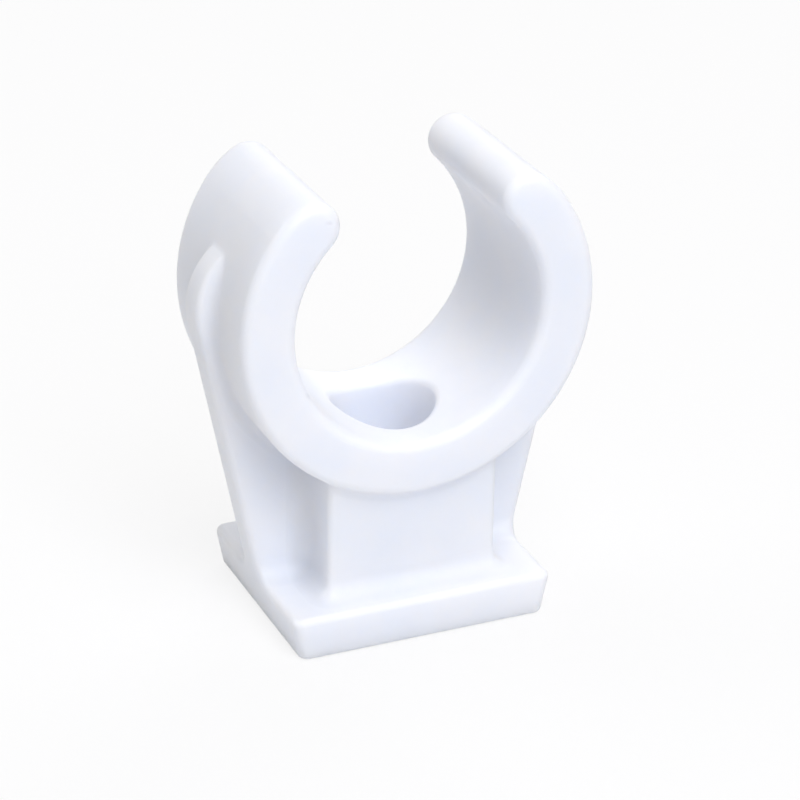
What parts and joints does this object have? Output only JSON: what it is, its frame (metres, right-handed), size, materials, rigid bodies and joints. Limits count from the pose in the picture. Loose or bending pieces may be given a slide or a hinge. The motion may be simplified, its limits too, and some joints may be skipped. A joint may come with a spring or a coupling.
{
  "type": "pipe clip",
  "caption": "Snap-in pipe clip moulded in white plastic: an open ring with round lips on a tapered web and block, with a stepped screw hole down through a flat base plate.",
  "frame": {"origin": "middle of the plate's underside, on the axis of the screw hole", "axes": "+Z away from the wall, towards the ring's mouth; +Y along the pipe; +X across the pipe"},
  "size_m": [0.0306, 0.0172, 0.0358],
  "materials": {
    "white_plastic": "satin moulded white polypropylene"
  },
  "bodies": {
    "root": {"clip_body": "white_plastic"}
  },
  "joints": []
}
